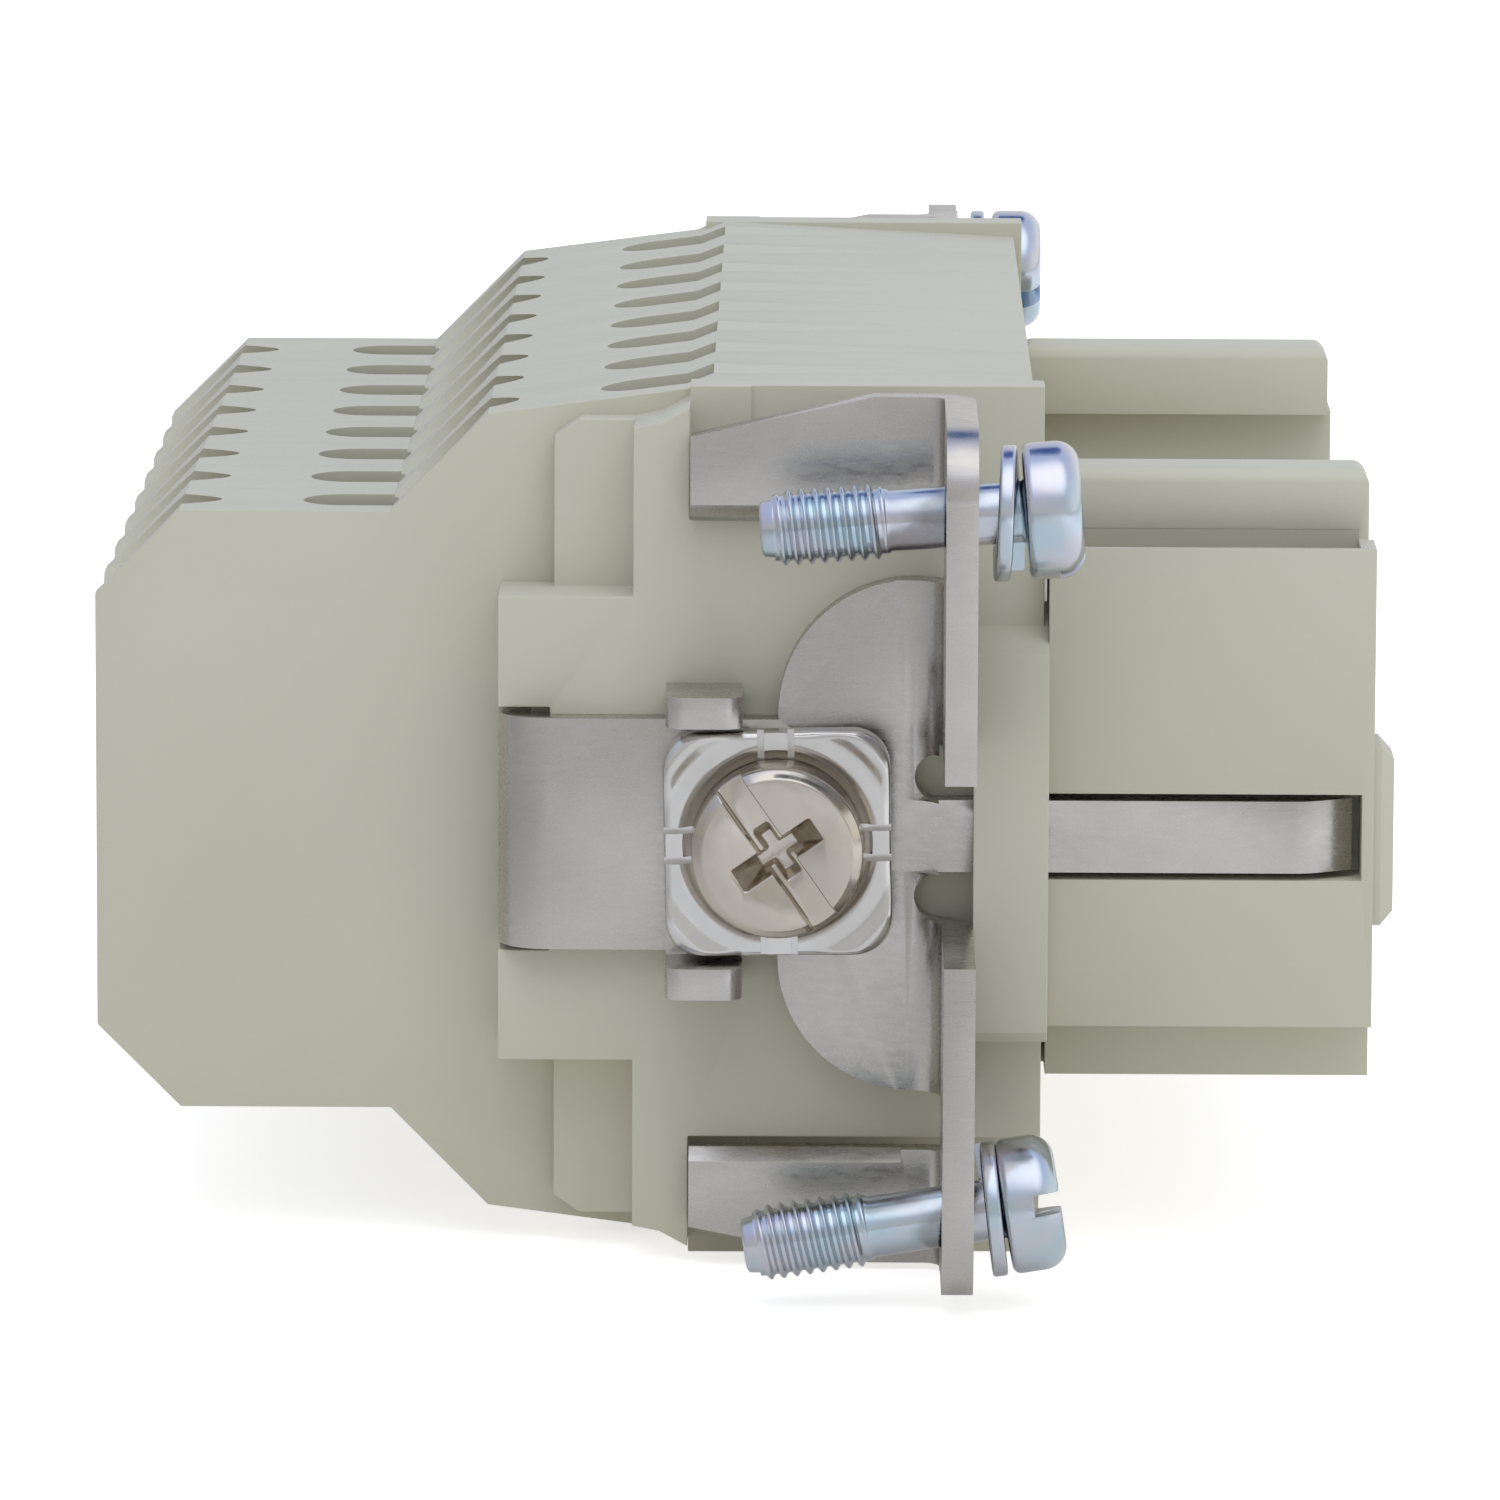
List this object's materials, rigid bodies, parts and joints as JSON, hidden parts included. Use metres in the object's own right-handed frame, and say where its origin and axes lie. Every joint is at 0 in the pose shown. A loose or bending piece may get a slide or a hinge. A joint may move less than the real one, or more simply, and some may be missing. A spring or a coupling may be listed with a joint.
{
  "type": "heavy duty connector insert",
  "caption": "Female insert of a heavy duty industrial connector with double-deck spring clamp wire entries, earth brackets with terminals and captive fixing screws.",
  "frame": {"origin": "centre of the four fixing holes, in the front face of the earth flanges", "axes": "+X out of the mating side, +Y along the long side, +Z across the two contact rows; the part rests on the long side at -Z, as in the picture"},
  "size_m": [0.0502, 0.0844, 0.034],
  "materials": {
    "moulded_body": "pebble grey glass-filled moulding with a fine matt grain",
    "bracket_metal": "stamped sheet with satin nickel plating",
    "terminal_metal": "bright warm nickel plating with small scratches",
    "zinc_steel": "bright blue-passivated zinc plating",
    "contact_metal": "silver-plated copper alloy",
    "spring_steel": "bright spring steel strip"
  },
  "bodies": {
    "insert": {"mating_block": "moulded_body", "contact_module_1": "moulded_body", "contact_module_2": "moulded_body", "contact_module_3": "moulded_body", "contact_module_4": "moulded_body", "contact_module_5": "moulded_body", "contact_module_6": "moulded_body", "contact_module_7": "moulded_body", "contact_module_8": "moulded_body", "contact_1": "contact_metal", "contact_2": "contact_metal", "contact_3": "contact_metal", "contact_4": "contact_metal", "contact_5": "contact_metal", "contact_6": "contact_metal", "contact_7": "contact_metal", "contact_8": "contact_metal", "contact_9": "contact_metal", "contact_10": "contact_metal", "contact_11": "contact_metal", "contact_12": "contact_metal", "contact_13": "contact_metal", "contact_14": "contact_metal", "contact_15": "contact_metal", "contact_16": "contact_metal", "clamp_springs_1": "spring_steel", "clamp_springs_2": "spring_steel", "clamp_springs_3": "spring_steel", "clamp_springs_4": "spring_steel", "clamp_springs_5": "spring_steel", "clamp_springs_6": "spring_steel", "clamp_springs_7": "spring_steel", "clamp_springs_8": "spring_steel", "end_plate_near": "moulded_body", "end_plate_far": "moulded_body", "ground_bracket_near": "bracket_metal", "ground_bracket_far": "bracket_metal"},
    "washer_1": {"spring_washer_1": "zinc_steel"},
    "screw_1": {"fixing_screw_1": "zinc_steel"},
    "washer_2": {"spring_washer_2": "zinc_steel"},
    "screw_2": {"fixing_screw_2": "zinc_steel"},
    "washer_3": {"spring_washer_3": "zinc_steel"},
    "screw_3": {"fixing_screw_3": "zinc_steel"},
    "washer_4": {"spring_washer_4": "zinc_steel"},
    "screw_4": {"fixing_screw_4": "zinc_steel"},
    "clamp_near": {"ground_clamp_near": "terminal_metal"},
    "terminal_screw_near": {"ground_screw_near": "terminal_metal"},
    "clamp_far": {"ground_clamp_far": "terminal_metal"},
    "terminal_screw_far": {"ground_screw_far": "terminal_metal"}
  },
  "joints": [
    {"name": "screw_1_float", "type": "slide", "parent": "insert", "child": "washer_1", "axis": [0.9973, 0, 0.0732], "range_m": [-0.0005, 0.0019]},
    {"name": "screw_1_spin", "type": "hinge", "parent": "washer_1", "child": "screw_1", "pos_m": [-0.0006, -0.03875, 0.01345], "axis": [0.9973, 0, 0.0732], "continuous": true},
    {"name": "screw_2_float", "type": "slide", "parent": "insert", "child": "washer_2", "axis": [0.9877, 0, 0.1564], "range_m": [0, 0.0023]},
    {"name": "screw_2_spin", "type": "hinge", "parent": "washer_2", "child": "screw_2", "pos_m": [-0.0006, -0.03875, -0.01335], "axis": [0.9877, 0, 0.1564], "continuous": true},
    {"name": "screw_3_float", "type": "slide", "parent": "insert", "child": "washer_3", "axis": [1, 0, 0], "range_m": [-0.00055, 0.0022]},
    {"name": "screw_3_spin", "type": "hinge", "parent": "washer_3", "child": "screw_3", "pos_m": [-0.0006, 0.03875, 0.0135], "axis": [1, 0, 0], "continuous": true},
    {"name": "screw_4_float", "type": "slide", "parent": "insert", "child": "washer_4", "axis": [1, 0, 0], "range_m": [-0.00035, 0.0025]},
    {"name": "screw_4_spin", "type": "hinge", "parent": "washer_4", "child": "screw_4", "pos_m": [-0.0006, 0.03875, -0.0135], "axis": [1, 0, 0], "continuous": true},
    {"name": "clamp_near_travel", "type": "slide", "parent": "insert", "child": "clamp_near", "axis": [0, 1, 0], "range_m": [-0.00094, 0.00096]},
    {"name": "terminal_screw_near_turn", "type": "hinge", "parent": "clamp_near", "child": "terminal_screw_near", "pos_m": [-0.0075, -0.035, 0], "axis": [0, 1, 0], "range_deg": [-486.2, 495.2]},
    {"name": "clamp_far_travel", "type": "slide", "parent": "insert", "child": "clamp_far", "axis": [0, -1, 0], "range_m": [-0.00094, 0.00096]},
    {"name": "terminal_screw_far_turn", "type": "hinge", "parent": "clamp_far", "child": "terminal_screw_far", "pos_m": [-0.0075, 0.035, 0], "axis": [0, -1, 0], "range_deg": [-486.2, 495.2]}
  ],
  "couplings": [
    {"joint": "terminal_screw_near_turn", "follows": "clamp_near_travel", "rad_per_m": 8976},
    {"joint": "terminal_screw_far_turn", "follows": "clamp_far_travel", "rad_per_m": 8976}
  ]
}
